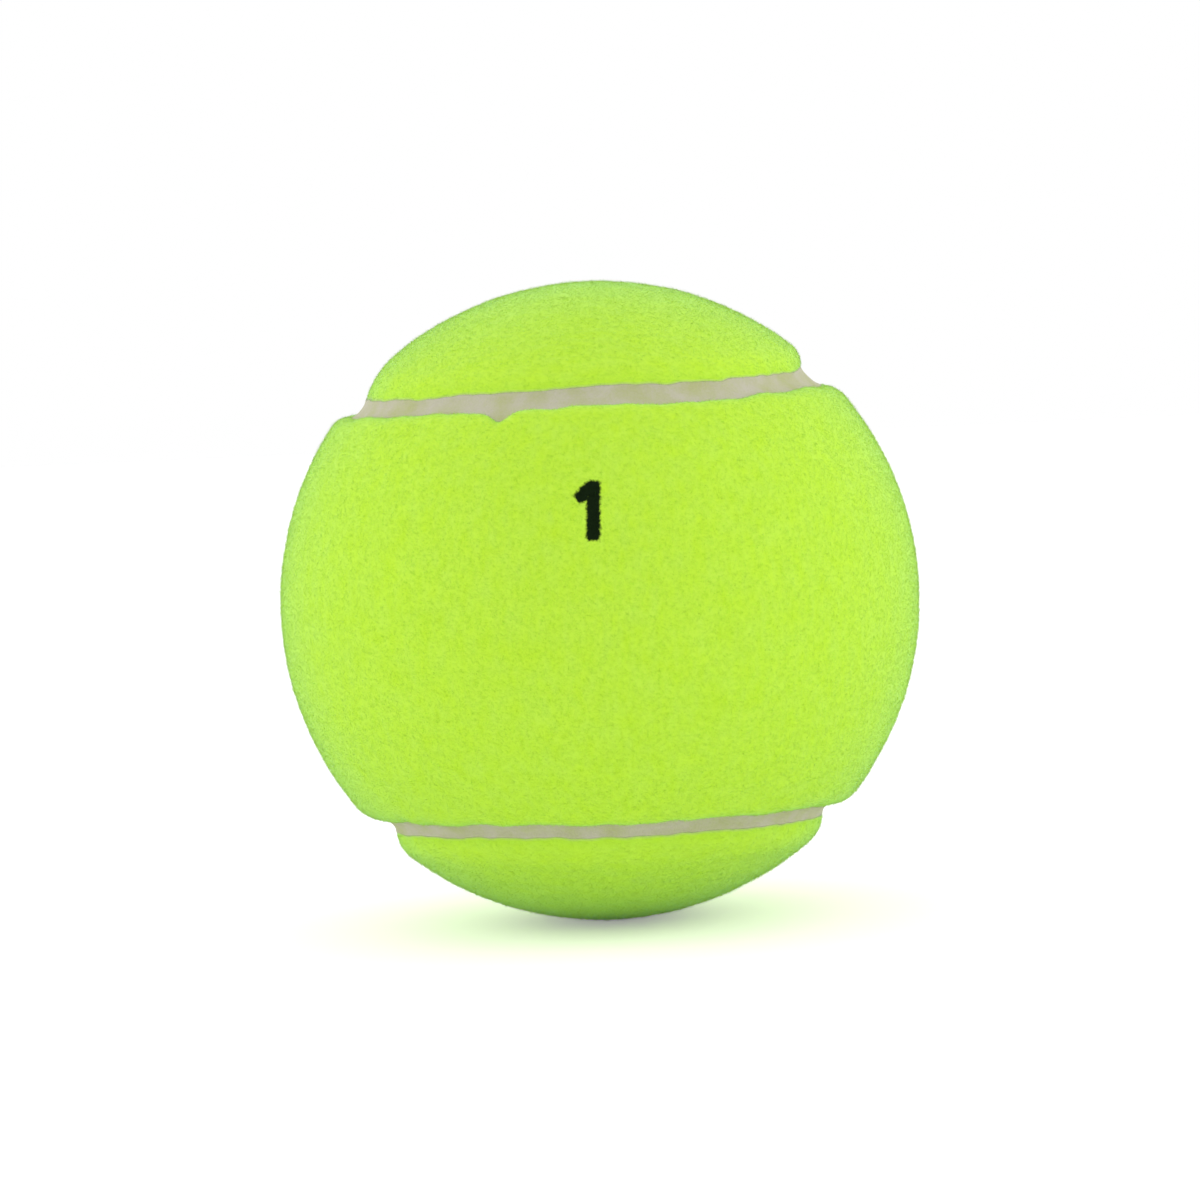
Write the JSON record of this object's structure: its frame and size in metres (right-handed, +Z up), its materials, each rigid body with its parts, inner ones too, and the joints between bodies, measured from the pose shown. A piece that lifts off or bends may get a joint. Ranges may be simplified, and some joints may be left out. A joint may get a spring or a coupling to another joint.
{
  "type": "tennis ball",
  "caption": "Felt-covered hollow rubber ball: dumbbell-shaped felt panels cemented round a moulded core, with a sunk cement seam between them.",
  "frame": {"origin": "centre of the ball", "axes": "-Y through the middle of the front panel's waist, +Y through the middle of the back panel's waist, X through the front panel's two lobes, +Z up through the back panel's upper lobe"},
  "size_m": [0.067, 0.067, 0.067],
  "materials": {
    "felt": "optic yellow napped wool felt, matte",
    "seam_cement": "matte grey-beige cured rubber cement",
    "panel_cement": "thin film of dried rubber solution",
    "joint_cement": "cured rubber cement",
    "core_rubber": "moulded dark rubber, buffed matte outside"
  },
  "bodies": {
    "root": {"core_cup_front": "core_rubber", "core_cup_back": "core_rubber", "cup_joint_cement": "joint_cement", "panel_cement_front": "panel_cement", "panel_cement_back": "panel_cement", "felt_panel_front": "felt", "felt_panel_back": "felt", "seam_cement": "seam_cement"}
  },
  "joints": []
}
